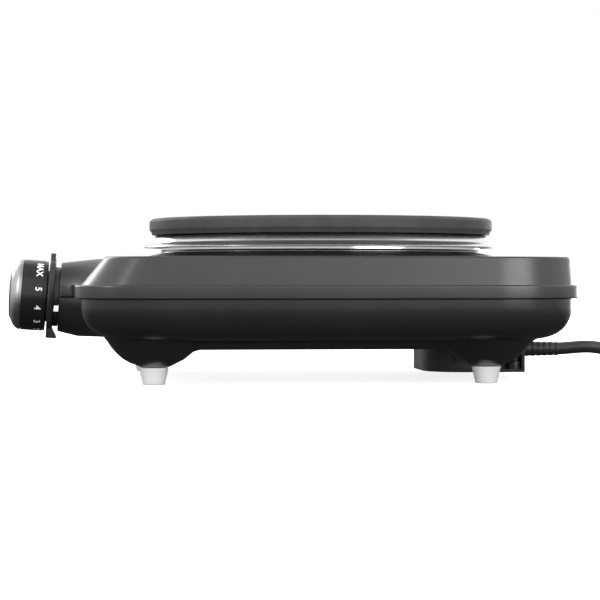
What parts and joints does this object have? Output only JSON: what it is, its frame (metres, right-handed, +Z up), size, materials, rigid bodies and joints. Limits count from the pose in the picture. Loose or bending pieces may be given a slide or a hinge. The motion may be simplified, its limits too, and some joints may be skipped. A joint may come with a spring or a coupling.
{
  "type": "electric hot plate",
  "caption": "Free-standing electric hot plate: round cast-iron plate on a chromed ring in a black pressed housing, with a front dial and a mains cord.",
  "frame": {"origin": "bottom centre of the hot plate's bounding box, on the surface under the feet, without the mains cord, its coil and its plug", "axes": "+Z up; the dial faces -Y and the mains cord leaves at +Y; X runs across the housing"},
  "size_m": [0.2394, 0.4327, 0.0849],
  "materials": {
    "black_paint": "satin black stoving paint on pressed steel",
    "cast_iron": "matt dark heat-proof coating on machined cast iron",
    "chrome": "bright chrome",
    "black_plastic": "glossy black moulded thermoset",
    "foot_rubber": "light grey moulded silicone rubber",
    "steel": "bright zinc-plated steel",
    "heater": "heat-stained sheathed element",
    "brass": "turned brass",
    "ceramic": "unglazed white steatite",
    "insulation": "pressed mineral board",
    "aluminium": "pressed sheet, natural",
    "cord_rubber": "black flexible sheath, matt",
    "wire_brown": "heat-proof sleeving, brown",
    "wire_blue": "heat-proof sleeving, blue",
    "wire_green": "green and yellow earth lead"
  },
  "bodies": {
    "housing": {"upper_housing": "black_paint", "lower_housing": "black_paint", "foot_front_left": "foot_rubber", "foot_front_right": "foot_rubber", "foot_rear_left": "foot_rubber", "foot_rear_right": "foot_rubber", "foot_screw_front_left": "steel", "foot_screw_front_right": "steel", "foot_screw_rear_left": "steel", "foot_screw_rear_right": "steel", "hot_plate": "cast_iron", "spill_ring": "chrome", "heating_coil": "heater", "insulation_disc": "insulation", "plate_cover": "steel", "plate_stud": "steel", "heat_shield": "aluminium", "clamp_bridge": "steel", "bridge_nut": "steel", "plate_terminal": "ceramic", "terminal_tab_left": "steel", "terminal_tab_right": "steel", "thermal_cutout": "ceramic", "terminal_block": "ceramic", "bezel": "black_plastic", "thermostat_frame": "steel", "thermostat_bush": "brass", "frame_screw_left": "steel", "frame_screw_right": "steel", "lower_contact_spring": "brass", "upper_contact_spring": "brass", "bimetal_strip": "steel", "cord_cover": "black_plastic", "cover_screw_left": "steel", "cover_screw_right": "steel", "cord_clamp": "black_plastic", "clamp_screw_left": "steel", "clamp_screw_right": "steel", "strain_relief": "cord_rubber", "inner_sheath": "cord_rubber", "lead_live": "wire_brown", "lead_neutral": "wire_blue", "lead_earth": "wire_green", "link_to_thermostat": "wire_brown", "link_to_plate": "wire_blue", "mains_cord": "cord_rubber", "cord_coil": "cord_rubber", "plug_body": "cord_rubber", "plug_pin_left": "chrome", "plug_pin_right": "chrome"},
    "knob": {"knob_body": "black_plastic", "knob_cap": "chrome", "knob_inlay": "black_plastic", "knob_clip": "steel", "control_spindle": "brass"},
    "setting_pin": {"setting_pin": "ceramic"}
  },
  "joints": [
    {"name": "knob_turn", "type": "hinge", "parent": "housing", "child": "knob", "pos_m": [0, -0.12197, 0.0432], "axis": [0, 0.9976, -0.0698], "range_deg": [0, 319]},
    {"name": "setting_travel", "type": "slide", "parent": "housing", "child": "setting_pin", "axis": [0, 0.9976, -0.0698], "range_m": [0, 0.0009]}
  ],
  "couplings": [
    {"joint": "setting_travel", "follows": "knob_turn", "m_per_rad": 0.00016}
  ]
}
